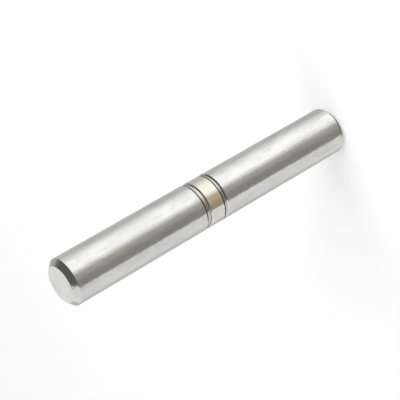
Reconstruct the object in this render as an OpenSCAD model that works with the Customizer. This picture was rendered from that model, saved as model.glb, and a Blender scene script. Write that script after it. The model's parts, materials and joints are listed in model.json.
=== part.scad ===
// Weld-on barrel hinge: two turned steel barrels on a fixed pin, with a
// shrouded thrust ball bearing between them. All sizes are in millimetres.
// The hinge stands on the lower barrel's outer end, with its axis on +Z.

/* [Barrels] */
// Outside diameter of both barrels
barrel_d = 20; // [18:0.5:30]
// Length of the lower barrel
lower_len = 65; // [50:1:120]
// Length of the upper barrel
upper_len = 65; // [50:1:120]
// Chamfer at the free end of the upper barrel
upper_chamfer = 2.2; // [0.5:0.1:4]
// Chamfer at the free end of the lower barrel
lower_chamfer = 1.5; // [0.5:0.1:4]
// Edge break where each barrel meets the bearing
joint_chamfer = 0.5; // [0.1:0.05:1]

/* [Pin] */
// Wall of the upper barrel round its hole, as a share of the barrel's radius
wall_share = 0.495; // [0.475:0.005:0.6]
// Depth that the pin is pressed into the lower barrel
pin_seat = 32; // [15:1:40]
// Length of the pin that stands inside the upper barrel
pin_reach = 36; // [15:1:40]
// Chamfer on both ends of the pin
pin_chamfer = 1; // [0.3:0.1:2]
// Room left in each hole past the end of the pin
hole_spare = 2; // [0.5:0.5:6]
// Included angle of the drill point at the bottom of each hole
drill_angle = 118; // [90:1:140]
// Countersink at the mouth of the upper barrel's hole
mouth_chamfer = 0.6; // [0.2:0.1:1.5]

/* [Thrust bearing] */
// Height of the bearing, from barrel to barrel
bearing_h = 10; // [9:0.1:14]
// Number of balls
ball_count = 12; // [11:1:14]
// Depth of the ball track in each race
track_depth = 0.6; // [0.2:0.05:0.9]
// Radius of the ball track, as a multiple of the ball's radius
track_fit = 1.04; // [1.02:0.01:1.1]
// Room above and below the cage
cage_room = 0.4; // [0.2:0.05:0.5]
// Least metal between two pockets of the cage, which sets the ball's diameter
pocket_web = 0.417; // [0.3:0.001:0.6]
// Wall of the shroud
shroud_wall = 0.4; // [0.3:0.05:0.8]
// Height of the shroud
shroud_h = 7.6; // [7:0.1:8]
// Band of the lower race that shows under the shroud
lower_band = 0.9; // [0.3:0.1:1]
// Rounding of the shroud's outer edges
shroud_round = 0.55; // [0.05:0.01:0.7]
// Edge break on both races
race_chamfer = 0.15; // [0.05:0.05:0.3]

/* [Fits] */
// Radial clearance of what turns on the pin
pin_clearance = 0.05; // [0.02:0.01:0.1]
// Radial clearance of the upper race in the shroud
shroud_clearance = 0.1; // [0.05:0.01:0.2]
// Clearance of a ball in its tracks
ball_clearance = 0.02; // [0.01:0.01:0.05]
// Clearance of a ball in its cage pocket
pocket_clearance = 0.1; // [0.05:0.01:0.2]
// Clearance inside and outside the cage
cage_clearance = 0.2; // [0.1:0.05:0.3]

/* [Hidden] */
$fn = 96;
barrel_r = barrel_d / 2;

// The hole leaves the stated wall, and the pin runs in the hole with its clearance
socket_r = barrel_r * (1 - wall_share);
pin_r = socket_r - pin_clearance;

// Heights of the joint faces and of the balls' centres
lower_face_z = lower_len;
upper_face_z = lower_len + bearing_h;
ball_z = lower_len + bearing_h / 2;
shroud_z = lower_face_z + lower_band;

// The races fill the shroud; the balls run midway between the pin and the shroud
race_bore_r = socket_r;
lower_race_r = barrel_r - shroud_wall;
upper_race_r = lower_race_r - shroud_clearance;
pitch_r = (race_bore_r + lower_race_r) / 2;

// The balls are as large as the cage allows with metal left between its pockets
pocket_r = pitch_r * sin(180 / ball_count) - pocket_web / 2;
ball_r = pocket_r - pocket_clearance;
track_r = ball_r * track_fit;
race_gap = 2 * (ball_r + ball_clearance - track_depth);
race_t = (bearing_h - race_gap) / 2;
cage_t = race_gap - 2 * cage_room;
cage_in_r = race_bore_r + cage_clearance;
cage_out_r = lower_race_r - cage_clearance;

// Depth of each hole to its full diameter, from the joint face
seat_depth = pin_seat + hole_spare;
socket_depth = pin_reach + hole_spare;

function ball_name(i) = str("ball_", i < 10 ? "0" : "", i);
BALLS = [for (i = [1:ball_count]) ball_name(i)];

// Solid bar turned to an outline with one chamfer at each end
module turned_bar(r, h, low_chamfer, high_chamfer) {
    rotate_extrude()
        polygon([
            [0, 0],
            [r - low_chamfer, 0],
            [r, low_chamfer],
            [r, h - high_chamfer],
            [r - high_chamfer, h],
            [0, h]
        ]);
}

// Blind drilled hole: a straight wall and the cone that the drill's point leaves
module drilled_hole(r, depth, over) {
    point_h = r / tan(drill_angle / 2);
    rotate_extrude()
        polygon([
            [0, -over],
            [r, -over],
            [r, depth],
            [0, depth + point_h]
        ]);
}

// Conical mouth of a hole, opening upwards from z = 0
module countersink(r, chamfer, over) {
    rotate_extrude()
        polygon([
            [0, -over],
            [r + chamfer + over, -over],
            [r, chamfer],
            [0, chamfer]
        ]);
}

// Ring with its four edges broken
module race_blank(outer_r, t) {
    rotate_extrude()
        polygon([
            [race_bore_r, race_chamfer],
            [race_bore_r + race_chamfer, 0],
            [outer_r - race_chamfer, 0],
            [outer_r, race_chamfer],
            [outer_r, t - race_chamfer],
            [outer_r - race_chamfer, t],
            [race_bore_r + race_chamfer, t],
            [race_bore_r, t - race_chamfer]
        ]);
}

// Round groove that the balls run in, its bottom a clearance away from them
module ball_track(side) {
    translate([0, 0, ball_z + side * (ball_r + ball_clearance - track_r)])
        rotate_extrude()
            translate([pitch_r, 0])
                circle(r = track_r);
}

module lower_barrel() {
    color([0.72, 0.72, 0.70])
        difference() {
            turned_bar(barrel_r, lower_len, lower_chamfer, joint_chamfer);
            translate([0, 0, lower_face_z])
                mirror([0, 0, 1])
                    drilled_hole(pin_r, seat_depth, 1);
        }
}

module hinge_pin() {
    color([0.62, 0.63, 0.64])
        translate([0, 0, lower_face_z - pin_seat])
            turned_bar(pin_r, pin_seat + bearing_h + pin_reach, pin_chamfer, pin_chamfer);
}

module lower_race() {
    color([0.78, 0.78, 0.76])
        difference() {
            translate([0, 0, lower_face_z])
                race_blank(lower_race_r, race_t);
            ball_track(-1);
        }
}

module upper_race() {
    color([0.78, 0.78, 0.76])
        difference() {
            translate([0, 0, upper_face_z - race_t])
                race_blank(upper_race_r, race_t);
            ball_track(1);
        }
}

module ball_cage() {
    color([0.80, 0.66, 0.36])
        translate([0, 0, ball_z - cage_t / 2])
            difference() {
                cylinder(r = cage_out_r, h = cage_t);
                translate([0, 0, -1])
                    cylinder(r = cage_in_r, h = cage_t + 2);
                for (i = [1:ball_count])
                    rotate([0, 0, 360 * i / ball_count])
                        translate([pitch_r, 0, -1])
                            cylinder(r = pocket_r, h = cage_t + 2);
            }
}

module ball(i) {
    color([0.85, 0.85, 0.86])
        rotate([0, 0, 360 * i / ball_count])
            translate([pitch_r, 0, ball_z])
                sphere(r = ball_r);
}

// Thin sleeve with rounded outer edges, pressed on the lower race
module bearing_shroud() {
    inner_r = lower_race_r;
    round_x = barrel_r - shroud_round;
    color([0.84, 0.79, 0.68])
        translate([0, 0, shroud_z])
            rotate_extrude()
                intersection() {
                    translate([inner_r, 0])
                        square([shroud_wall, shroud_h]);
                    union() {
                        square([round_x, shroud_h]);
                        translate([0, shroud_round])
                            square([barrel_r, shroud_h - 2 * shroud_round]);
                        for (z = [shroud_round, shroud_h - shroud_round])
                            translate([round_x, z])
                                circle(r = shroud_round);
                    }
                }
}

module upper_barrel() {
    color([0.72, 0.72, 0.70])
        translate([0, 0, upper_face_z])
            difference() {
                turned_bar(barrel_r, upper_len, joint_chamfer, upper_chamfer);
                drilled_hole(socket_r, socket_depth, 1);
                countersink(socket_r, mouth_chamfer, 1);
            }
}

lower_barrel();
hinge_pin();
lower_race();
ball_cage();
for (i = [1:ball_count])
    ball(i);
bearing_shroud();
upper_race();
upper_barrel();
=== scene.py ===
import json
import math

import bpy
import numpy as np
from mathutils import Matrix, Vector


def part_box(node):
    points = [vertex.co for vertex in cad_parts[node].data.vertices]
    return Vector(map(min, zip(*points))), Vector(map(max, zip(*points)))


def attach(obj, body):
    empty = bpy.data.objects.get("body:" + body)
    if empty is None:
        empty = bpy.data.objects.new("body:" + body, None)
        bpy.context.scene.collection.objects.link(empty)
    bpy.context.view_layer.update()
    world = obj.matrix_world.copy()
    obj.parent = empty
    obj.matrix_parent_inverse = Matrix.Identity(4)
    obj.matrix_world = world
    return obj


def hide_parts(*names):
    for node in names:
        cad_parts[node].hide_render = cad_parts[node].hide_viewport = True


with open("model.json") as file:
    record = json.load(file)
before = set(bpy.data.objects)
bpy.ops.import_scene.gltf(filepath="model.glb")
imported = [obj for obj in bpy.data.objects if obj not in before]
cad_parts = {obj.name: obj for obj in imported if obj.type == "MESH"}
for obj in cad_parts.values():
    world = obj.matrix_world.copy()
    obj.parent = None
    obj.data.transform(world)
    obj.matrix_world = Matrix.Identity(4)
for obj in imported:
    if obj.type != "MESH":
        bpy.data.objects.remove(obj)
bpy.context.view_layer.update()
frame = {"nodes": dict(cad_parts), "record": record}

bl_info = {
    "name": "Weld-on barrel hinge",
    "version": (1, 0, 0),
    "blender": (4, 5, 0),
    "location": "3D View > Sidebar > Hinge",
    "description": "Dresses the packed hinge in turned surfaces and metal finishes, on a studio floor",
    "category": "Object",
}

MM = 0.001


# Sizes and colours that a user would change

class HingeTurning(bpy.types.PropertyGroup):
    """Sizes of the turned edges, holes and tracks, which the frame's boxes don't give"""

    upper_chamfer: bpy.props.FloatProperty(
        name="Upper chamfer",
        description="Chamfer at the free end of the upper barrel",
        default=2.2 * MM, min=0.5 * MM, max=4 * MM, precision=5, unit="LENGTH",
    )
    lower_chamfer: bpy.props.FloatProperty(
        name="Lower chamfer",
        description="Chamfer at the free end of the lower barrel",
        default=1.5 * MM, min=0.5 * MM, max=4 * MM, precision=5, unit="LENGTH",
    )
    joint_chamfer: bpy.props.FloatProperty(
        name="Joint chamfer",
        description="Edge break where a barrel meets the bearing",
        default=0.5 * MM, min=0.1 * MM, max=1 * MM, precision=5, unit="LENGTH",
    )
    mouth_chamfer: bpy.props.FloatProperty(
        name="Mouth chamfer",
        description="Countersink at the mouth of the upper barrel's hole",
        default=0.6 * MM, min=0.2 * MM, max=1.5 * MM, precision=5, unit="LENGTH",
    )
    pin_chamfer: bpy.props.FloatProperty(
        name="Pin chamfer",
        description="Chamfer on both ends of the pin",
        default=1 * MM, min=0.3 * MM, max=2 * MM, precision=5, unit="LENGTH",
    )
    race_chamfer: bpy.props.FloatProperty(
        name="Race chamfer",
        description="Edge break on both races",
        default=0.15 * MM, min=0.05 * MM, max=0.3 * MM, precision=5, unit="LENGTH",
    )
    edge_ease: bpy.props.FloatProperty(
        name="Edge ease",
        description="Radius that deburring leaves on a turned edge",
        default=0.12 * MM, min=0.02 * MM, max=0.3 * MM, precision=5, unit="LENGTH",
    )
    shroud_round: bpy.props.FloatProperty(
        name="Shroud rounding",
        description="Rounding of the shroud's outer edges",
        default=0.55 * MM, min=0.05 * MM, max=0.7 * MM, precision=5, unit="LENGTH",
    )
    pin_clearance: bpy.props.FloatProperty(
        name="Pin clearance",
        description="Radial clearance of what turns on the pin",
        default=0.05 * MM, min=0.02 * MM, max=0.1 * MM, precision=5, unit="LENGTH",
    )
    hole_spare: bpy.props.FloatProperty(
        name="Hole spare",
        description="Room left in each hole past the end of the pin",
        default=2 * MM, min=0.5 * MM, max=6 * MM, precision=5, unit="LENGTH",
    )
    drill_angle: bpy.props.FloatProperty(
        name="Drill angle",
        description="Included angle of the drill point at the bottom of each hole",
        default=math.radians(118), min=math.radians(90), max=math.radians(140), subtype="ANGLE",
    )
    track_depth: bpy.props.FloatProperty(
        name="Track depth",
        description="Depth of the ball track in each race",
        default=0.6 * MM, min=0.2 * MM, max=0.9 * MM, precision=5, unit="LENGTH",
    )
    track_fit: bpy.props.FloatProperty(
        name="Track fit",
        description="Radius of the ball track, as a multiple of the ball's radius",
        default=1.04, min=1.02, max=1.1,
    )
    steps_round: bpy.props.IntProperty(
        name="Steps round",
        description="Facets round the axis of each turned piece",
        default=192, min=48, max=512,
    )


class HingeFinish(bpy.types.PropertyGroup):
    """Colours and gloss of the metals"""

    barrel_color: bpy.props.FloatVectorProperty(
        name="Barrel colour", description="Bright drawn steel of both barrels",
        default=(0.70, 0.70, 0.685), min=0, max=1, size=3, subtype="COLOR",
    )
    pin_color: bpy.props.FloatVectorProperty(
        name="Pin colour", description="Ground steel of the pin",
        default=(0.60, 0.61, 0.62), min=0, max=1, size=3, subtype="COLOR",
    )
    race_color: bpy.props.FloatVectorProperty(
        name="Race colour", description="Hardened steel of the races",
        default=(0.56, 0.55, 0.53), min=0, max=1, size=3, subtype="COLOR",
    )
    ball_color: bpy.props.FloatVectorProperty(
        name="Ball colour", description="Polished steel of the balls",
        default=(0.78, 0.78, 0.79), min=0, max=1, size=3, subtype="COLOR",
    )
    cage_color: bpy.props.FloatVectorProperty(
        name="Cage colour", description="Brass of the ball cage",
        default=(0.80, 0.62, 0.32), min=0, max=1, size=3, subtype="COLOR",
    )
    shroud_color: bpy.props.FloatVectorProperty(
        name="Shroud colour", description="Pale straw metal of the bearing's shroud",
        default=(0.71, 0.695, 0.66), min=0, max=1, size=3, subtype="COLOR",
    )
    # Colour of the painted amber reflection on the shroud
    amber_reflection_color: bpy.props.FloatVectorProperty(
        name="Amber colour", description="Stain in patches on the shroud",
        default=(1.0, 0.85, 0.60), min=0, max=1, size=3, subtype="COLOR",
    )
    # Also the colour of the painted shade at the low edges
    stain_and_shade_color: bpy.props.FloatVectorProperty(
        name="Stain colour", description="What pits and scratches hold",
        default=(0.09, 0.075, 0.06), min=0, max=1, size=3, subtype="COLOR",
    )


class HingeStudio(bpy.types.PropertyGroup):
    """Camera, floor and light"""

    camera_elevation: bpy.props.FloatProperty(
        name="Camera elevation", description="Angle of the view below the horizon",
        default=math.radians(29.09), subtype="ANGLE",
    )
    camera_roll: bpy.props.FloatProperty(
        name="Camera roll", description="Turn of the picture about the line of sight, to the right",
        default=math.radians(120.06), subtype="ANGLE",
    )
    camera_distance: bpy.props.FloatProperty(
        name="Camera distance", description="From the camera to the point that it looks at",
        default=588.4 * MM, unit="LENGTH",
    )
    camera_aim: bpy.props.FloatVectorProperty(
        name="Camera aim", description="Point in the middle of the picture",
        default=(1.37 * MM, 0, 70.26 * MM), size=3, subtype="XYZ", unit="LENGTH",
    )
    camera_lens: bpy.props.FloatProperty(
        name="Camera lens", description="Focal length in millimetres on a sensor 36 mm wide",
        default=133.58,
    )
    floor_color: bpy.props.FloatVectorProperty(
        name="Floor colour", description="Colour of the floor under the lamps",
        default=(0.94, 0.94, 0.94), min=0, max=1, size=3, subtype="COLOR",
    )
    room_level: bpy.props.FloatProperty(
        name="Room level", description="Share of the light that comes evenly from the room",
        default=0.55, min=0, max=1,
    )
    light_card: bpy.props.FloatProperty(
        name="Light card", description="Brightness of the white card on the right, as the metal mirrors it",
        default=1.42, min=0, max=2,
    )
    side_card: bpy.props.FloatProperty(
        name="Side card", description="Brightness of the pale card on the left, as the metal mirrors it",
        default=0.9, min=0, max=2,
    )
    grey_card: bpy.props.FloatProperty(
        name="Grey cards", description="Brightness of the grey cards behind, as the metal mirrors them",
        default=0.62, min=0, max=2,
    )
    front_card: bpy.props.FloatProperty(
        name="Front card", description="Brightness of the dim card in front, as the metal mirrors it",
        default=0.5, min=0, max=2,
    )
    dim_card: bpy.props.FloatProperty(
        name="Dim card", description="Brightness of the dimmer card on its left half",
        default=0.33, min=0, max=2,
    )
    dark_cloth: bpy.props.FloatProperty(
        name="Dark cloth", description="Brightness of the cloth above and in front, as the metal mirrors it",
        default=0.14, min=0, max=2,
    )
    lamp_power: bpy.props.FloatProperty(
        name="Lamp power", description="Power of the large soft lamp above the hinge",
        default=12.0, min=0, max=50, unit="POWER",
    )
    fill_power: bpy.props.FloatProperty(
        name="Fill power", description="Power of the weaker lamp across from it",
        default=4.0, min=0, max=50, unit="POWER",
    )


# Outlines and surfaces

ARC_STEPS = 6
TRACK_STEPS = 32
BAR_RINGS = 9
ON_AXIS = 1e-9
SHARP_ANGLE = math.radians(40)


def eased_outline(corners):
    """Outline in the half-plane of radius and height, from corners (r, z, ease).

    Each corner with an ease becomes an arc of that radius, tangent to both of its sides: its
    centre lies on the bisector at ease / sin(half the corner's angle), and it starts and ends
    at ease / tan(half the angle) from the corner. One more point on each side of the arc keeps
    the flats beside it flat under smooth shading.
    """
    points = np.array([corner[:2] for corner in corners], float)
    eases = np.array([corner[2] for corner in corners], float)
    to_last = np.roll(points, 1, axis=0) - points
    to_next = np.roll(points, -1, axis=0) - points
    to_last /= np.linalg.norm(to_last, axis=1)[:, None]
    to_next /= np.linalg.norm(to_next, axis=1)[:, None]
    share = np.linspace(0, 1, ARC_STEPS + 1)[:, None]
    outline = []
    for i, (corner, ease) in enumerate(zip(points, eases)):
        if ease == 0:
            outline.append(corner[None])
            continue
        half = math.acos(np.clip(to_last[i] @ to_next[i], -1, 1)) / 2
        sweep = math.pi - 2 * half
        bisector = to_last[i] + to_next[i]
        centre = corner + bisector / np.linalg.norm(bisector) * ease / math.sin(half)
        start = corner + to_last[i] * ease / math.tan(half)
        end = corner + to_next[i] * ease / math.tan(half)
        turn = (start - centre) * np.sin((1 - share) * sweep) + (end - centre) * np.sin(share * sweep)
        outline.append((start + to_last[i] * ease)[None])
        outline.append(centre + turn / math.sin(sweep))
        outline.append((end + to_next[i] * ease)[None])
    return np.concatenate(outline)


def lathe_mesh(name, outline, steps):
    """Body of revolution: a point (r, z) of the outline at the turn a lies at (r cos a, r sin a, z).

    An outline that starts and ends on the axis closes there in two fans. Any other outline is
    a loop, and its last point joins its first.
    """
    turns = np.arange(steps) * 2 * math.pi / steps
    radius, height = outline.T
    grid = np.stack([
        radius[:, None] * np.cos(turns),
        radius[:, None] * np.sin(turns),
        np.repeat(height[:, None], steps, axis=1),
    ], axis=2)
    to_axis = radius[0] < ON_AXIS and radius[-1] < ON_AXIS
    rings = grid[1:-1] if to_axis else grid
    count = len(rings)
    index = np.arange(count * steps).reshape(count, steps)
    if not to_axis:
        index = np.concatenate([index, index[:1]])
    beside = np.roll(index, -1, axis=1)
    quads = np.stack([index[:-1], beside[:-1], beside[1:], index[1:]], axis=2).reshape(-1, 4)
    points = rings.reshape(-1, 3)
    fans = np.zeros((0, 3), int)
    if to_axis:
        first, last = count * steps, count * steps + 1
        points = np.concatenate([points, grid[:1, 0], grid[-1:, 0]])
        low_fan = np.stack([np.full(steps, first), beside[0], index[0]], axis=1)
        high_fan = np.stack([index[-1], beside[-1], np.full(steps, last)], axis=1)
        fans = np.concatenate([low_fan, high_fan])
    return surface_mesh(name, points, quads, fans)


def surface_mesh(name, points, quads, triangles):
    """Mesh from an array of points, one of quads and one of triangles, smooth but for real corners"""
    mesh = bpy.data.meshes.new(name)
    mesh.vertices.add(len(points))
    mesh.vertices.foreach_set("co", points.astype(np.float32).ravel())
    corners = np.concatenate([quads.ravel(), triangles.ravel()]).astype(np.int32)
    mesh.loops.add(len(corners))
    mesh.loops.foreach_set("vertex_index", corners)
    starts = np.concatenate([
        np.arange(len(quads)) * 4,
        len(quads) * 4 + np.arange(len(triangles)) * 3,
    ]).astype(np.int32)
    mesh.polygons.add(len(starts))
    mesh.polygons.foreach_set("loop_start", starts)
    mesh.update(calc_edges=True)
    mesh.validate()
    mesh.shade_smooth()
    mesh.set_sharp_from_angle(angle=SHARP_ANGLE)
    return mesh


def add_value(mesh, name, values):
    """Attribute with one value a vertex, or the same one for all"""
    spread = np.ones(len(mesh.vertices), np.float32) * values
    mesh.attributes.new(name, "FLOAT", "POINT").data.foreach_set("value", spread)


def add_wear(mesh, end, reach):
    """Attribute "wear": e^(-d / reach) at the distance d along the axis from a free end"""
    places = np.zeros(len(mesh.vertices) * 3, np.float32)
    mesh.vertices.foreach_get("co", places)
    add_value(mesh, "wear", np.exp(-np.abs(places[2::3] - end) / reach))


def add_amber_reflection(mesh, turns, width):
    """Attribute of painted amber reflection: a patch round each turn in degrees, e^(-(a / width)^2) at the
    angle a from it
    """
    places = np.zeros(len(mesh.vertices) * 3, np.float32)
    mesh.vertices.foreach_get("co", places)
    turn = np.degrees(np.arctan2(places[1::3], places[0::3]))
    away = (turn[:, None] - np.array(turns) + 180) % 360 - 180
    amber_reflection = np.exp(-(away / width) ** 2).max(axis=1)
    add_value(mesh, "amber_reflection", amber_reflection)


def barrel_outline(radius, low, high, low_chamfer, high_chamfer, ease):
    """Outside of a turned bar with a chamfer at each end, from its low face round to its high one.

    Evenly spaced rings let an attribute follow a curve along it.
    """
    rings = np.linspace(low, high, BAR_RINGS + 2)[1:-1]
    return [
        (radius - low_chamfer, low, ease),
        (radius, low + low_chamfer, ease),
        *[(radius, ring, 0) for ring in rings],
        (radius, high - high_chamfer, ease),
        (radius - high_chamfer, high, ease),
    ]


def point_height(radius, drill_angle):
    """Height of the cone that a drill leaves at the bottom of a hole"""
    return radius / math.tan(drill_angle / 2)


def race_outline(bore, outer, back, face, pitch, track_r, track_depth, chamfer):
    """Loop round the section of a race whose back is below its face.

    The track is an arc of radius track_r with its lowest point track_depth under the face.
    """
    ease = chamfer / 4
    centre = face - track_depth + track_r
    lift = math.asin((centre - face) / track_r)
    turn = np.linspace(-lift, lift - math.pi, TRACK_STEPS + 1)
    track = np.stack([pitch + track_r * np.cos(turn), centre + track_r * np.sin(turn)], axis=1)
    rim = eased_outline([
        (bore, back + chamfer, ease),
        (bore + chamfer, back, ease),
        (outer - chamfer, back, ease),
        (outer, back + chamfer, ease),
        (outer, face - chamfer, ease),
        (outer - chamfer, face, ease),
        (bore + chamfer, face, ease),
        (bore, face - chamfer, ease),
    ])
    before_track = 6 * (ARC_STEPS + 3)
    return np.concatenate([rim[:before_track], track, rim[before_track:]])


def shroud_outline(inner, outer, low, high, rounding):
    """Loop round the section of the shroud.

    Its outer edges are arcs. Where the rounding is more than the wall, an arc runs out on the
    inner wall, at the turn whose cosine is the part of the rounding that lies inside that wall.
    """
    centre = outer - rounding
    reach = math.acos(max(inner - centre, 0) / rounding)
    turn = np.linspace(0, reach, 2 * ARC_STEPS + 1)
    across = centre + rounding * np.cos(turn)
    beyond = rounding * (np.sin(turn) - 1)
    low_edge = np.stack([across, low - beyond], axis=1)[::-1]
    high_edge = np.stack([across, high + beyond], axis=1)
    guard = np.array([0, rounding / 3])
    return np.concatenate([
        [[inner, low_edge[0, 1]]], low_edge, [low_edge[-1] + guard],
        [high_edge[0] - guard], high_edge, [[inner, high_edge[-1, 1]]],
    ])


# Node trees

def add_node(tree, kind, inputs=(), **settings):
    """One node with its settings. An input's value is a number, a vector or another node's output."""
    node = tree.nodes.new(kind)
    for key, value in settings.items():
        setattr(node, key, value)
    for key, value in dict(inputs).items():
        socket = node.inputs[key]
        if isinstance(value, bpy.types.NodeSocket):
            tree.links.new(value, socket)
        else:
            socket.default_value = value
    return node


def math_node(tree, operation, first, second=0.5, third=0.5):
    """The output of a Math node. Only MULTIPLY_ADD uses the third number, which it adds."""
    inputs = {0: first, 1: second, 2: third}
    return add_node(tree, "ShaderNodeMath", inputs, operation=operation).outputs[0]


def smooth_step(tree, value, low, high):
    """0 below low, 1 above high, and smooth between them"""
    node = add_node(
        tree, "ShaderNodeMapRange",
        {"Value": value, "From Min": low, "From Max": high},
        interpolation_type="SMOOTHSTEP",
    )
    return node.outputs["Result"]


def new_group(name, inputs, outputs):
    """Empty node group with those sockets.

    An input is given as (name, kind, default) and an output as (name, kind).
    """
    tree = bpy.data.node_groups.new(name, "ShaderNodeTree")
    for socket_name, kind, default in inputs:
        socket = tree.interface.new_socket(socket_name, in_out="INPUT", socket_type=kind)
        if default is not None:
            socket.default_value = default
    for socket_name, kind in outputs:
        tree.interface.new_socket(socket_name, in_out="OUTPUT", socket_type=kind)
    return tree, tree.nodes.new("NodeGroupInput"), tree.nodes.new("NodeGroupOutput")


def lay_group():
    """Marks that the making of a round piece leaves, 0 to 1.

    Where the surface faces sideways they are lines along the axis, as a drawing die or a
    grinding belt leaves. Where it faces along the axis they are rings, as a lathe tool leaves.
    """
    tree, given, result = new_group(
        "lay_marks",
        [
            ("Place", "NodeSocketVector", None),
            ("Facing", "NodeSocketVector", None),
            ("Line width", "NodeSocketFloat", 0.3),
            ("Line length", "NodeSocketFloat", 20.0),
            ("Ring pitch", "NodeSocketFloat", 0.15),
        ],
        [("Marks", "NodeSocketFloat"), ("Turned", "NodeSocketFloat")],
    )
    across = math_node(tree, "DIVIDE", 1.0, given.outputs["Line width"])
    along = math_node(tree, "DIVIDE", 1.0, given.outputs["Line length"])
    stretch = add_node(tree, "ShaderNodeCombineXYZ", {0: across, 1: across, 2: along})
    drawn = add_node(
        tree, "ShaderNodeVectorMath",
        {0: given.outputs["Place"], 1: stretch.outputs[0]}, operation="MULTIPLY",
    )
    lines = add_node(
        tree, "ShaderNodeTexNoise",
        {"Vector": drawn.outputs[0], "Scale": 1.0, "Detail": 3.0, "Roughness": 0.6},
    )
    flat = add_node(
        tree, "ShaderNodeVectorMath",
        {0: given.outputs["Place"], 1: (1.0, 1.0, 0.0)}, operation="MULTIPLY",
    )
    radius = add_node(tree, "ShaderNodeVectorMath", {0: flat.outputs[0]}, operation="LENGTH")
    ring_number = math_node(tree, "DIVIDE", radius.outputs["Value"], given.outputs["Ring pitch"])
    rings = add_node(
        tree, "ShaderNodeTexNoise",
        {"W": ring_number, "Scale": 1.0, "Detail": 2.0, "Roughness": 0.7},
        noise_dimensions="1D",
    )
    facing = add_node(tree, "ShaderNodeSeparateXYZ", {0: given.outputs["Facing"]})
    upright = math_node(tree, "ABSOLUTE", facing.outputs[2])
    turned = smooth_step(tree, upright, 0.25, 0.55)
    marks = add_node(
        tree, "ShaderNodeMix",
        {"Factor": turned, "A": lines.outputs["Fac"], "B": rings.outputs["Fac"]},
    )
    tree.links.new(marks.outputs["Result"], result.inputs["Marks"])
    tree.links.new(turned, result.inputs["Turned"])
    return tree


def pits_group():
    """Small round dents, 1 in the middle of each.

    The share Amount of the cells of a Voronoi pattern has one.
    """
    tree, given, result = new_group(
        "pits",
        [
            ("Place", "NodeSocketVector", None),
            ("Spacing", "NodeSocketFloat", 1.0),
            ("Size", "NodeSocketFloat", 0.3),
            ("Amount", "NodeSocketFloat", 0.3),
        ],
        [("Pits", "NodeSocketFloat")],
    )
    density = math_node(tree, "DIVIDE", 1.0, given.outputs["Spacing"])
    cells = add_node(
        tree, "ShaderNodeTexVoronoi",
        {"Vector": given.outputs["Place"], "Scale": density},
    )
    edge = math_node(tree, "DIVIDE", given.outputs["Size"], given.outputs["Spacing"])
    inside = math_node(tree, "DIVIDE", cells.outputs["Distance"], edge)
    dent = smooth_step(tree, inside, 1.0, 0.3)
    chance = add_node(tree, "ShaderNodeSeparateColor", {0: cells.outputs["Color"]})
    chosen = math_node(tree, "LESS_THAN", chance.outputs[0], given.outputs["Amount"])
    tree.links.new(math_node(tree, "MULTIPLY", dent, chosen), result.inputs["Pits"])
    return tree


def scratches_group():
    """Hairline scratches: the thin lines where a stretched noise passes its middle value, kept in patches"""
    tree, given, result = new_group(
        "scratches",
        [
            ("Place", "NodeSocketVector", None),
            ("Spacing", "NodeSocketFloat", 3.0),
            ("Width", "NodeSocketFloat", 0.02),
            ("Amount", "NodeSocketFloat", 0.4),
        ],
        [("Scratches", "NodeSocketFloat")],
    )
    density = math_node(tree, "DIVIDE", 1.0, given.outputs["Spacing"])
    lean = add_node(
        tree, "ShaderNodeMapping",
        {"Vector": given.outputs["Place"], "Rotation": (0.5, 0.3, 0.4), "Scale": (1.0, 1.0, 0.16)},
    )
    field = add_node(
        tree, "ShaderNodeTexNoise",
        {"Vector": lean.outputs[0], "Scale": density, "Detail": 1.5, "Roughness": 0.5},
    )
    away = math_node(tree, "ABSOLUTE", math_node(tree, "SUBTRACT", field.outputs["Fac"], 0.5))
    nearness = math_node(tree, "DIVIDE", away, given.outputs["Width"])
    line = smooth_step(tree, nearness, 1.0, 0.0)
    patches = add_node(
        tree, "ShaderNodeTexNoise",
        {"Vector": given.outputs["Place"], "Scale": 0.3, "Detail": 2.0},
    )
    bare = math_node(tree, "SUBTRACT", 1.0, given.outputs["Amount"])
    kept = math_node(tree, "GREATER_THAN", patches.outputs["Fac"], bare)
    tree.links.new(math_node(tree, "MULTIPLY", line, kept), result.inputs["Scratches"])
    return tree


def tarnish_group():
    """Slow change of tint over the skin, 0 to 1, drawn out along the axis"""
    tree, given, result = new_group(
        "tarnish",
        [
            ("Place", "NodeSocketVector", None),
            ("Patch size", "NodeSocketFloat", 6.0),
        ],
        [("Tarnish", "NodeSocketFloat")],
    )
    density = math_node(tree, "DIVIDE", 1.0, given.outputs["Patch size"])
    long_way = add_node(
        tree, "ShaderNodeVectorMath",
        {0: given.outputs["Place"], 1: (1.0, 1.0, 0.4)}, operation="MULTIPLY",
    )
    cloud = add_node(
        tree, "ShaderNodeTexNoise",
        {"Vector": long_way.outputs[0], "Scale": density, "Detail": 4.0, "Roughness": 0.6},
    )
    tree.links.new(smooth_step(tree, cloud.outputs["Fac"], 0.35, 0.65), result.inputs["Tarnish"])
    return tree


def low_edge_shade_group():
    """Painted shade along the low edge of a piece: 1 up to about the height Top in metres.

    Its border is uneven.
    """
    tree, given, result = new_group(
        "low_edge_shade",
        [
            ("Place", "NodeSocketVector", None),
            ("Top", "NodeSocketFloat", 0.0),
        ],
        [("Grime", "NodeSocketFloat")],
    )
    place = add_node(tree, "ShaderNodeSeparateXYZ", {0: given.outputs["Place"]})
    top = math_node(tree, "DIVIDE", given.outputs["Top"], MM)
    above = math_node(tree, "SUBTRACT", place.outputs[2], top)
    border = add_node(
        tree, "ShaderNodeTexNoise",
        {"Vector": given.outputs["Place"], "Scale": 0.6, "Detail": 2.0},
    )
    uneven = math_node(tree, "MULTIPLY_ADD", border.outputs["Fac"], 0.3, above)
    tree.links.new(smooth_step(tree, uneven, 0.25, 0.1), result.inputs["Grime"])
    return tree


GROUP_MAKERS = {
    # Painted shade at a piece's low edge
    "low_edge_shade": low_edge_shade_group,
    "lay_marks": lay_group,
    "pits": pits_group,
    "scratches": scratches_group,
    "tarnish": tarnish_group,
}


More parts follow.
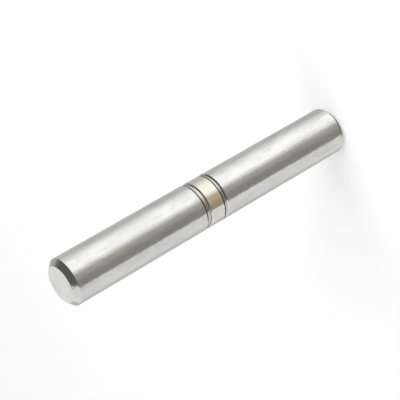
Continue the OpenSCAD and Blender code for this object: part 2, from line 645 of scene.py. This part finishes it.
def group_node(tree, name, inputs):
    """A shared group placed in a material, built the first time that it is asked for"""
    shared = bpy.data.node_groups.get(name) or GROUP_MAKERS[name]()
    node = add_node(tree, "ShaderNodeGroup", node_tree=shared)
    for key, value in inputs.items():
        if isinstance(value, bpy.types.NodeSocket):
            tree.links.new(value, node.inputs[key])
        else:
            node.inputs[key].default_value = value
    return node


# How wear, dirt and painted shade act on every metal. Depths are multiples of the metal's pit depth.
LINE_STRETCH = 60
WORN_SCRATCHES = 0.35
SCRATCH_STAIN = 0.3
DENT_STAIN = 0.45
# Also dulls the gloss under the painted shade at the low edges
STAIN_AND_SHADE_DULLING = 0.5
SCUFF_DULLING = 0.08
KNOCK_SPACING = 1.7
KNOCK_SIZE = 0.6
KNOCK_AMOUNT = 0.25
KNOCK_DEPTH = 2.5
CUT_DEPTH = 1 / 3
WORN_CUT_DEPTH = 0.6


def metal_material(
    name, color, roughness, line_width, line_depth, ring_depth,
    mottle_depth, pit_amount, pit_depth, scratch_amount, tint, gloss_change,
):
    """A worn metal, darkened by painted shade at its low edge and tinted by painted amber reflection where
    the mesh carries them. All depths are in millimetres, and the Bump node turns them into metres.
    """
    found = bpy.data.materials.get(name)
    if found:
        return found
    finish = bpy.context.scene.hinge_finish
    material = bpy.data.materials.new(name)
    material.use_nodes = True
    tree = material.node_tree
    shader = tree.nodes["Principled BSDF"]
    coordinates = add_node(tree, "ShaderNodeTexCoord")
    place = add_node(
        tree, "ShaderNodeVectorMath",
        {0: coordinates.outputs["Object"], "Scale": 1 / MM}, operation="SCALE",
    ).outputs[0]
    lay = group_node(tree, "lay_marks", {
        "Place": place,
        "Facing": coordinates.outputs["Normal"],
        "Line width": line_width,
        "Line length": line_width * LINE_STRETCH,
    })
    pits = group_node(tree, "pits", {"Place": place, "Amount": pit_amount}).outputs[0]
    wear = add_node(tree, "ShaderNodeAttribute", attribute_name="wear").outputs["Fac"]
    scratched = math_node(tree, "MULTIPLY_ADD", wear, WORN_SCRATCHES, scratch_amount)
    scratches = group_node(tree, "scratches", {"Place": place, "Amount": scratched}).outputs[0]
    tarnish = group_node(tree, "tarnish", {"Place": place}).outputs[0]

    tinted = add_node(
        tree, "ShaderNodeMix",
        {"Factor": tarnish, "A": (*color, 1), "B": (*[c * t for c, t in zip(color, tint)], 1)},
        data_type="RGBA",
    )
    # Painted reflection: a warm tint mixed in where the mesh's amber patches lie
    amber_reflection = add_node(tree, "ShaderNodeAttribute", attribute_name="amber_reflection").outputs["Fac"]
    with_amber_reflection = add_node(
        tree, "ShaderNodeMix",
        {"Factor": amber_reflection, "A": tinted.outputs["Result"], "B": (*finish.amber_reflection_color, 1)},
        data_type="RGBA",
    )
    # Painted shade: the low edge of the piece is darkened, up to the height that the mesh gives
    low_edge_shade = group_node(tree, "low_edge_shade", {
        "Place": place,
        "Top": add_node(tree, "ShaderNodeAttribute", attribute_name="shade_top").outputs["Fac"],
    }).outputs[0]
    worked = math_node(tree, "MAXIMUM", pits, math_node(tree, "MULTIPLY", scratches, SCRATCH_STAIN))
    # Real stain in pits and scratches, and painted shade at the low edge, both in the dark stain colour
    stain_and_shade = math_node(tree, "MAXIMUM", math_node(tree, "MULTIPLY", worked, DENT_STAIN), low_edge_shade)
    stained_and_shaded = add_node(
        tree, "ShaderNodeMix",
        {"Factor": stain_and_shade, "A": with_amber_reflection.outputs["Result"], "B": (*finish.stain_and_shade_color, 1)},
        data_type="RGBA",
    )
    tree.links.new(stained_and_shaded.outputs["Result"], shader.inputs["Base Color"])

    spread = math_node(tree, "ADD", tarnish, lay.outputs["Marks"])
    dulled = math_node(tree, "MULTIPLY_ADD", spread, gloss_change, roughness - gloss_change)
    # The stain and the painted shade also dull the gloss
    dulled_by_stain_and_shade = math_node(tree, "MULTIPLY_ADD", stain_and_shade, STAIN_AND_SHADE_DULLING, dulled)
    rubbed = math_node(tree, "MULTIPLY", wear, tarnish)
    scuffed = math_node(tree, "MULTIPLY_ADD", rubbed, SCUFF_DULLING, dulled_by_stain_and_shade)
    tree.links.new(scuffed, shader.inputs["Roughness"])

    depth = add_node(
        tree, "ShaderNodeMix",
        {"Factor": lay.outputs["Turned"], "A": line_depth, "B": ring_depth},
    )
    marks = math_node(tree, "MULTIPLY", lay.outputs["Marks"], depth.outputs["Result"])
    mottle = add_node(
        tree, "ShaderNodeTexNoise",
        {"Vector": place, "Scale": 0.9, "Detail": 3.0, "Roughness": 0.55},
    )
    waves = math_node(tree, "MULTIPLY", mottle.outputs["Fac"], mottle_depth)
    dents = math_node(tree, "MULTIPLY_ADD", pits, -pit_depth, waves)
    knocks = group_node(tree, "pits", {
        "Place": place,
        "Spacing": KNOCK_SPACING,
        "Size": KNOCK_SIZE,
        "Amount": math_node(tree, "MULTIPLY", wear, KNOCK_AMOUNT),
    }).outputs[0]
    knocked = math_node(tree, "MULTIPLY_ADD", knocks, -KNOCK_DEPTH * pit_depth, dents)
    cut_depth = math_node(
        tree, "MULTIPLY_ADD", wear, -WORN_CUT_DEPTH * pit_depth, -CUT_DEPTH * pit_depth,
    )
    cuts = math_node(tree, "MULTIPLY", scratches, cut_depth)
    relief = math_node(tree, "ADD", marks, math_node(tree, "ADD", knocked, cuts))
    bump = add_node(tree, "ShaderNodeBump", {"Strength": 1.0, "Distance": MM, "Height": relief})
    tree.links.new(bump.outputs["Normal"], shader.inputs["Normal"])
    shader.inputs["Metallic"].default_value = 1.0
    return material


def barrel_steel():
    """Bright cold-drawn bar: fine lines along it, a few pits, a faint cool tint in patches"""
    return metal_material(
        "barrel_finish", bpy.context.scene.hinge_finish.barrel_color, roughness=0.1,
        line_width=0.4, line_depth=0.008, ring_depth=0.002,
        mottle_depth=0.045, pit_amount=0.12, pit_depth=0.01, scratch_amount=0.42,
        tint=(0.89, 0.90, 0.91), gloss_change=0.06,
    )


def pin_steel():
    """Ground pin: finer lines than the bar's and hardly a pit"""
    return metal_material(
        "pin_finish", bpy.context.scene.hinge_finish.pin_color, roughness=0.16,
        line_width=0.15, line_depth=0.001, ring_depth=0.001,
        mottle_depth=0.004, pit_amount=0.02, pit_depth=0.005, scratch_amount=0.3,
        tint=(0.97, 0.98, 1.0), gloss_change=0.04,
    )


def race_steel():
    """Ground and hardened race"""
    return metal_material(
        "race_finish", bpy.context.scene.hinge_finish.race_color, roughness=0.16,
        line_width=0.15, line_depth=0.001, ring_depth=0.001,
        mottle_depth=0.004, pit_amount=0.04, pit_depth=0.005, scratch_amount=0.3,
        tint=(0.98, 0.97, 0.95), gloss_change=0.04,
    )


def ball_steel():
    """Polished ball"""
    return metal_material(
        "ball_finish", bpy.context.scene.hinge_finish.ball_color, roughness=0.07,
        line_width=0.5, line_depth=0.0, ring_depth=0.0,
        mottle_depth=0.0, pit_amount=0.02, pit_depth=0.002, scratch_amount=0.15,
        tint=(0.98, 0.99, 1.0), gloss_change=0.02,
    )


def cage_brass():
    """Pressed brass strip, a little dull"""
    return metal_material(
        "cage_finish", bpy.context.scene.hinge_finish.cage_color, roughness=0.3,
        line_width=0.3, line_depth=0.002, ring_depth=0.002,
        mottle_depth=0.004, pit_amount=0.05, pit_depth=0.006, scratch_amount=0.4,
        tint=(0.92, 0.86, 0.74), gloss_change=0.08,
    )


def shroud_metal():
    """Pressed shroud with a pale straw tint, more polished than the bars"""
    return metal_material(
        "shroud_finish", bpy.context.scene.hinge_finish.shroud_color, roughness=0.09,
        line_width=0.4, line_depth=0.001, ring_depth=0.001,
        mottle_depth=0.004, pit_amount=0.05, pit_depth=0.005, scratch_amount=0.3,
        tint=(0.98, 0.95, 0.88), gloss_change=0.04,
    )


# Pieces

WEAR_REACH = 15 * MM

# Height of the painted shade at a low edge, as a multiple of its edge break or rounding
BARREL_SHADE = 1.3
SHROUD_SHADE = 1.4

# Turn of each patch of painted amber reflection on the shroud, and its width, in degrees. The patch at -102
# lies where the camera sees the shroud's dim reflection band; the other two repeat it.
AMBER_REFLECTION_TURNS = (-102, 40, 150)
AMBER_REFLECTION_WIDTH = 12


def add_piece(name, mesh, material, stands_for):
    """Object at the origin that rides where the CAD node rides and stands for it"""
    piece = bpy.data.objects.new(name, mesh)
    bpy.context.scene.collection.objects.link(piece)
    mesh.materials.append(material)
    bodies = frame["record"]["behaviour"]["bodies"]
    body = next(body for body, nodes in bodies.items() if stands_for in nodes)
    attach(piece, body)
    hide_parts(stands_for)


def dress_node(node, material):
    """Puts a finish on a CAD node that stays as it is"""
    piece = frame["nodes"][node]
    if not piece.material_slots:
        piece.data.materials.append(material)
    for slot in piece.material_slots:
        slot.material = material


class HINGE_OT_lower_barrel(bpy.types.Operator):
    """Turns the lower barrel, with the blind hole that holds the pin"""

    bl_idname = "hinge.lower_barrel"
    bl_label = "Lower barrel"

    def execute(self, context):
        turning = context.scene.hinge_turning
        low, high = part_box("lower_barrel")
        pin_low, pin_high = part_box("hinge_pin")
        hole = pin_high.x
        bottom = pin_low.z - turning.hole_spare
        outside = barrel_outline(
            high.x, low.z, high.z, turning.lower_chamfer, turning.joint_chamfer, turning.edge_ease
        )
        outline = eased_outline([
            (0, low.z, 0),
            *outside,
            (hole, high.z, 0),
            (hole, bottom, 0),
            (0, bottom - point_height(hole, turning.drill_angle), 0),
        ])
        mesh = lathe_mesh("turned_lower_barrel", outline, turning.steps_round)
        # Painted shade over the chamfer at the foot, where the barrel stands on the floor
        add_value(mesh, "shade_top", low.z + turning.lower_chamfer)
        add_wear(mesh, low.z, WEAR_REACH)
        add_piece("turned_lower_barrel", mesh, barrel_steel(), "lower_barrel")
        return {"FINISHED"}


class HINGE_OT_upper_barrel(bpy.types.Operator):
    """Turns the upper barrel, with the socket that runs on the pin"""

    bl_idname = "hinge.upper_barrel"
    bl_label = "Upper barrel"

    def execute(self, context):
        turning = context.scene.hinge_turning
        low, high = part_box("upper_barrel")
        pin_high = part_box("hinge_pin")[1]
        hole = pin_high.x + turning.pin_clearance
        top = pin_high.z + turning.hole_spare
        outside = barrel_outline(
            high.x, low.z, high.z, turning.joint_chamfer, turning.upper_chamfer, turning.edge_ease
        )
        outline = eased_outline([
            (0, top + point_height(hole, turning.drill_angle), 0),
            (hole, top, 0),
            (hole, low.z + turning.mouth_chamfer, 0),
            (hole + turning.mouth_chamfer, low.z, turning.edge_ease / 2),
            *outside,
            (0, high.z, 0),
        ])
        mesh = lathe_mesh("turned_upper_barrel", outline, turning.steps_round)
        # Painted shade over the joint chamfer at the barrel's low end
        add_value(mesh, "shade_top", low.z + BARREL_SHADE * turning.joint_chamfer)
        add_wear(mesh, high.z, WEAR_REACH)
        add_piece("turned_upper_barrel", mesh, barrel_steel(), "upper_barrel")
        return {"FINISHED"}


class HINGE_OT_pin(bpy.types.Operator):
    """Grinds the pin that is pressed into the lower barrel"""

    bl_idname = "hinge.pin"
    bl_label = "Pin"

    def execute(self, context):
        turning = context.scene.hinge_turning
        low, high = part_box("hinge_pin")
        outside = barrel_outline(
            high.x, low.z, high.z, turning.pin_chamfer, turning.pin_chamfer, turning.edge_ease
        )
        outline = eased_outline([(0, low.z, 0), *outside, (0, high.z, 0)])
        mesh = lathe_mesh("ground_pin", outline, turning.steps_round)
        add_piece("ground_pin", mesh, pin_steel(), "hinge_pin")
        return {"FINISHED"}


class HINGE_OT_races(bpy.types.Operator):
    """Grinds both races of the bearing, each with its ball track"""

    bl_idname = "hinge.races"
    bl_label = "Races"

    def execute(self, context):
        turning = context.scene.hinge_turning
        ball_low, ball_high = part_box("ball_12")
        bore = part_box("hinge_pin")[1].x + turning.pin_clearance
        pitch = (ball_low.x + ball_high.x) / 2
        middle = (ball_low.z + ball_high.z) / 2
        track_r = (ball_high.z - ball_low.z) / 2 * turning.track_fit
        low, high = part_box("lower_race")
        outline = race_outline(
            bore, high.x, low.z, high.z, pitch, track_r, turning.track_depth, turning.race_chamfer
        )
        mesh = lathe_mesh("ground_lower_race", outline, turning.steps_round)
        add_piece("ground_lower_race", mesh, race_steel(), "lower_race")
        low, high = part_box("upper_race")
        mirrored = race_outline(
            bore, high.x, 2 * middle - high.z, 2 * middle - low.z,
            pitch, track_r, turning.track_depth, turning.race_chamfer,
        )
        outline = np.stack([mirrored[:, 0], 2 * middle - mirrored[:, 1]], axis=1)[::-1]
        mesh = lathe_mesh("ground_upper_race", outline, turning.steps_round)
        add_piece("ground_upper_race", mesh, race_steel(), "upper_race")
        return {"FINISHED"}


class HINGE_OT_shroud(bpy.types.Operator):
    """Presses the thin sleeve round the bearing"""

    bl_idname = "hinge.shroud"
    bl_label = "Shroud"

    def execute(self, context):
        turning = context.scene.hinge_turning
        low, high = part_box("bearing_shroud")
        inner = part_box("lower_race")[1].x
        outline = shroud_outline(inner, high.x, low.z, high.z, turning.shroud_round)
        mesh = lathe_mesh("pressed_shroud", outline, turning.steps_round)
        # Painted shade over the shroud's low rounding
        add_value(mesh, "shade_top", low.z + SHROUD_SHADE * turning.shroud_round)
        # Painted amber reflection in patches round the shroud
        add_amber_reflection(mesh, AMBER_REFLECTION_TURNS, AMBER_REFLECTION_WIDTH)
        add_piece("pressed_shroud", mesh, shroud_metal(), "bearing_shroud")
        return {"FINISHED"}


class HINGE_OT_balls(bpy.types.Operator):
    """Polishes the balls"""

    bl_idname = "hinge.balls"
    bl_label = "Balls"

    def execute(self, context):
        for node in frame["nodes"]:
            if node.startswith("ball_") and node != "ball_cage":
                dress_node(node, ball_steel())
        return {"FINISHED"}


class HINGE_OT_cage(bpy.types.Operator):
    """Finishes the brass cage"""

    bl_idname = "hinge.cage"
    bl_label = "Ball cage"

    def execute(self, context):
        dress_node("ball_cage", cage_brass())
        return {"FINISHED"}


# Stage. Turns are degrees from +X and heights are degrees above the horizon.

WHITE = (1.0, 0.995, 0.98)
WARM = (1.0, 0.95, 0.86)
LOW_HEIGHTS = (-80, -1)
RAISED_HEIGHTS = (-80, 15)
OVERHEAD_HEIGHTS = (-1, 92)
TURN_STEPS = 120
HEIGHT_STEPS = 30
FLOOR_REACH = 3.0
FLOOR_DROP = 0.02 * MM
FLOOR_GLOW = 0.5
LAMP_SIZE = 0.9
KEY_PLACE = (0.75, -0.45, 0.95)
FILL_PLACE = (-0.9, 0.3, 0.6)
SENSOR_WIDTH = 36


def sheet_mesh(name, grid, cover):
    """Mesh of a grid of points, with the attribute "cover", from 0 where the card is clear to 1"""
    rows, columns = grid.shape[:2]
    index = np.arange(rows * columns).reshape(rows, columns)
    quads = np.stack([index[:-1, :-1], index[1:, :-1], index[1:, 1:], index[:-1, 1:]], axis=2)
    mesh = surface_mesh(name, grid.reshape(-1, 3), quads.reshape(-1, 4), np.zeros((0, 3), int))
    add_value(mesh, "cover", np.tile(cover, rows))
    return mesh


def soft_sides(values, soft_start, soft_end):
    """Rises smoothly from 0 to 1 over soft_start and falls again over soft_end"""
    rise = np.clip((values - values[0]) / soft_start, 0, 1)
    fall = np.clip((values[-1] - values) / soft_end, 0, 1)
    share = np.minimum(rise, fall)
    return share * share * (3 - 2 * share)


def dome_mesh(name, turns, heights, distance, soft):
    """Part of a far dome: d (cos e cos a, cos e sin a, sin e), for the turn a and the height e.

    Turns and heights are pairs of limits in degrees. Soft gives how many degrees of turn the
    card takes to fade in at its start and out at its end.
    """
    turn = np.radians(np.linspace(*turns, TURN_STEPS + 1))
    height = np.radians(np.linspace(*heights, HEIGHT_STEPS + 1))[:, None]
    grid = distance * np.stack([
        np.cos(height) * np.cos(turn),
        np.cos(height) * np.sin(turn),
        np.sin(height) * np.ones_like(turn),
    ], axis=2)
    return sheet_mesh(name, grid, soft_sides(turn, *np.radians(soft)))


def add_card(name, turns, heights, distance, soft, color, level):
    """A studio card: only the metal's reflections see it, and it gives no light and no shadow"""
    mesh = dome_mesh(name, turns, heights, distance, soft)
    material = bpy.data.materials.new(name)
    material.use_nodes = True
    tree = material.node_tree
    tree.nodes.clear()
    cover = add_node(tree, "ShaderNodeAttribute", attribute_name="cover")
    clear = add_node(tree, "ShaderNodeBsdfTransparent")
    glow = add_node(tree, "ShaderNodeEmission", {"Color": (*color, 1), "Strength": level})
    mix = add_node(
        tree, "ShaderNodeMixShader",
        {0: cover.outputs["Fac"], 1: clear.outputs[0], 2: glow.outputs[0]},
    )
    output = add_node(tree, "ShaderNodeOutputMaterial")
    tree.links.new(mix.outputs[0], output.inputs["Surface"])
    mesh.materials.append(material)
    card = bpy.data.objects.new(name, mesh)
    bpy.context.scene.collection.objects.link(card)
    card.visible_camera = False
    card.visible_diffuse = False
    card.visible_shadow = False
    card.visible_transmission = False


def shown_or_mirrored(tree):
    """1 for rays from the camera, for reflected ones and for those through glass"""
    path = add_node(tree, "ShaderNodeLightPath")
    through = path.outputs["Is Transmission Ray"]
    passed_on = math_node(tree, "MAXIMUM", path.outputs["Is Glossy Ray"], through)
    return math_node(tree, "MAXIMUM", path.outputs["Is Camera Ray"], passed_on)


def add_floor(studio):
    """Pale floor, white where nothing shades it"""
    corners = np.array([(-1, -1), (1, -1), (1, 1), (-1, 1)], float) * FLOOR_REACH
    points = np.concatenate([corners, np.full((4, 1), -FLOOR_DROP)], axis=1)
    mesh = surface_mesh("floor", points, np.array([[0, 1, 2, 3]]), np.zeros((0, 3), int))
    material = bpy.data.materials.new("floor_white")
    material.use_nodes = True
    tree = material.node_tree
    tree.nodes.clear()
    paint = add_node(tree, "ShaderNodeBsdfDiffuse", {"Color": (*studio.floor_color, 1)})
    glow = add_node(tree, "ShaderNodeEmission", {"Color": (1, 1, 1, 1), "Strength": 1.0})
    share = math_node(tree, "MULTIPLY", shown_or_mirrored(tree), FLOOR_GLOW)
    mix = add_node(tree, "ShaderNodeMixShader", {0: share, 1: paint.outputs[0], 2: glow.outputs[0]})
    output = add_node(tree, "ShaderNodeOutputMaterial")
    tree.links.new(mix.outputs[0], output.inputs["Surface"])
    mesh.materials.append(material)
    floor = bpy.data.objects.new("floor", mesh)
    bpy.context.scene.collection.objects.link(floor)
    floor.visible_glossy = False


def add_room(studio):
    """Even white room: full white where the camera or a reflection sees it, weaker as light"""
    world = bpy.data.worlds.new("white_room")
    bpy.context.scene.world = world
    world.use_nodes = True
    tree = world.node_tree
    background = tree.nodes["Background"]
    background.inputs["Color"].default_value = (1, 1, 1, 1)
    seen = shown_or_mirrored(tree)
    level = add_node(tree, "ShaderNodeMix", {"Factor": seen, "A": studio.room_level, "B": 1.0})
    tree.links.new(level.outputs["Result"], background.inputs["Strength"])


def add_lamp(name, place, target, size, power):
    """Square soft lamp at a point, facing another"""
    lamp = bpy.data.lights.new(name, "AREA")
    lamp.shape = "SQUARE"
    lamp.size = size
    lamp.energy = power
    lamp_object = bpy.data.objects.new(name, lamp)
    bpy.context.scene.collection.objects.link(lamp_object)
    lamp_object.location = place
    lamp_object.rotation_mode = "QUATERNION"
    lamp_object.rotation_quaternion = (Vector(target) - Vector(place)).to_track_quat("-Z", "Y")
    lamp_object.visible_camera = False
    lamp_object.visible_glossy = False


def add_camera(studio):
    """Camera that looks along +Y and down by its elevation, and is then rolled to the right"""
    elevation = studio.camera_elevation
    roll = studio.camera_roll
    forward = Vector((0, math.cos(elevation), -math.sin(elevation)))
    level_right = Vector((1, 0, 0))
    level_up = level_right.cross(forward)
    up = level_up * math.cos(roll) + level_right * math.sin(roll)
    right = forward.cross(up)
    data = bpy.data.cameras.new("camera")
    data.sensor_width = SENSOR_WIDTH
    data.lens = studio.camera_lens
    data.clip_start = 0.01
    data.clip_end = 20
    camera = bpy.data.objects.new("camera", data)
    bpy.context.scene.collection.objects.link(camera)
    turn = Matrix((right, up, -forward)).transposed().to_4x4()
    place = Vector(studio.camera_aim) - forward * studio.camera_distance
    camera.matrix_world = Matrix.Translation(place) @ turn
    bpy.context.scene.camera = camera


class HINGE_OT_stage(bpy.types.Operator):
    """Sets up the floor, the room, the lamps, the cards that the metal mirrors, and the camera"""

    bl_idname = "hinge.stage"
    bl_label = "Stage"

    def execute(self, context):
        studio = context.scene.hinge_studio
        add_floor(studio)
        add_room(studio)
        bearing = (0, 0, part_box("ball_12")[0].z)
        add_lamp("key_lamp", KEY_PLACE, bearing, LAMP_SIZE, studio.lamp_power)
        add_lamp("fill_lamp", FILL_PLACE, bearing, LAMP_SIZE, studio.fill_power)
        add_card(
            "back_card", turns=(-30, 92), heights=RAISED_HEIGHTS, distance=2.8, soft=(20, 2),
            color=WHITE, level=studio.grey_card,
        )
        add_card(
            "edge_card", turns=(-270, -190), heights=RAISED_HEIGHTS, distance=2.8, soft=(2, 48),
            color=WHITE, level=studio.grey_card,
        )
        add_card(
            "side_card", turns=(-215, -130), heights=RAISED_HEIGHTS, distance=2.7, soft=(20, 2),
            color=WHITE, level=studio.side_card,
        )
        add_card(
            "light_card", turns=(-102, 34), heights=LOW_HEIGHTS, distance=2.6, soft=(4, 70),
            color=WHITE, level=studio.light_card,
        )
        add_card(
            "front_card", turns=(-148, -57), heights=LOW_HEIGHTS, distance=2.5, soft=(8, 36),
            color=WARM, level=studio.front_card,
        )
        add_card(
            "dim_card", turns=(-148, -92), heights=LOW_HEIGHTS, distance=2.4, soft=(8, 28),
            color=WARM, level=studio.dim_card,
        )
        add_card(
            "dark_cloth", turns=(-153, 80), heights=OVERHEAD_HEIGHTS, distance=2.3, soft=(3, 60),
            color=WARM, level=studio.dark_cloth,
        )
        add_camera(studio)
        context.scene.view_settings.view_transform = "Standard"
        return {"FINISHED"}


class HINGE_PT_sidebar(bpy.types.Panel):
    """Sizes, colours and build steps of the hinge"""

    bl_idname = "HINGE_PT_sidebar"
    bl_label = "Barrel hinge"
    bl_space_type = "VIEW_3D"
    bl_region_type = "UI"
    bl_category = "Hinge"

    def draw(self, context):
        layout = self.layout
        for operator in PIECE_OPERATORS:
            layout.operator(operator.bl_idname)
        for label, group in (
            ("Turning", context.scene.hinge_turning),
            ("Finish", context.scene.hinge_finish),
            ("Studio", context.scene.hinge_studio),
        ):
            column = layout.column(heading=label)
            for key in group.bl_rna.properties.keys():
                if key not in {"rna_type", "name"}:
                    column.prop(group, key)


PROPERTY_GROUPS = {
    "hinge_turning": HingeTurning,
    "hinge_finish": HingeFinish,
    "hinge_studio": HingeStudio,
}
PIECE_OPERATORS = [
    HINGE_OT_lower_barrel,
    HINGE_OT_upper_barrel,
    HINGE_OT_pin,
    HINGE_OT_races,
    HINGE_OT_shroud,
    HINGE_OT_balls,
    HINGE_OT_cage,
    HINGE_OT_stage,
]


def register():
    """Makes the classes and the scene's settings known to Blender"""
    for name, group in PROPERTY_GROUPS.items():
        bpy.utils.register_class(group)
        setattr(bpy.types.Scene, name, bpy.props.PointerProperty(type=group))
    for operator in PIECE_OPERATORS:
        bpy.utils.register_class(operator)
    bpy.utils.register_class(HINGE_PT_sidebar)


def unregister():
    """Takes them away again"""
    bpy.utils.unregister_class(HINGE_PT_sidebar)
    for operator in reversed(PIECE_OPERATORS):
        bpy.utils.unregister_class(operator)
    for name, group in PROPERTY_GROUPS.items():
        delattr(bpy.types.Scene, name)
        bpy.utils.unregister_class(group)


def main():
    """Builds every piece and the stage"""
    register()
    bpy.ops.hinge.lower_barrel()
    bpy.ops.hinge.upper_barrel()
    bpy.ops.hinge.pin()
    bpy.ops.hinge.races()
    bpy.ops.hinge.shroud()
    bpy.ops.hinge.balls()
    bpy.ops.hinge.cage()
    bpy.ops.hinge.stage()


if __name__ == "__main__":
    main()
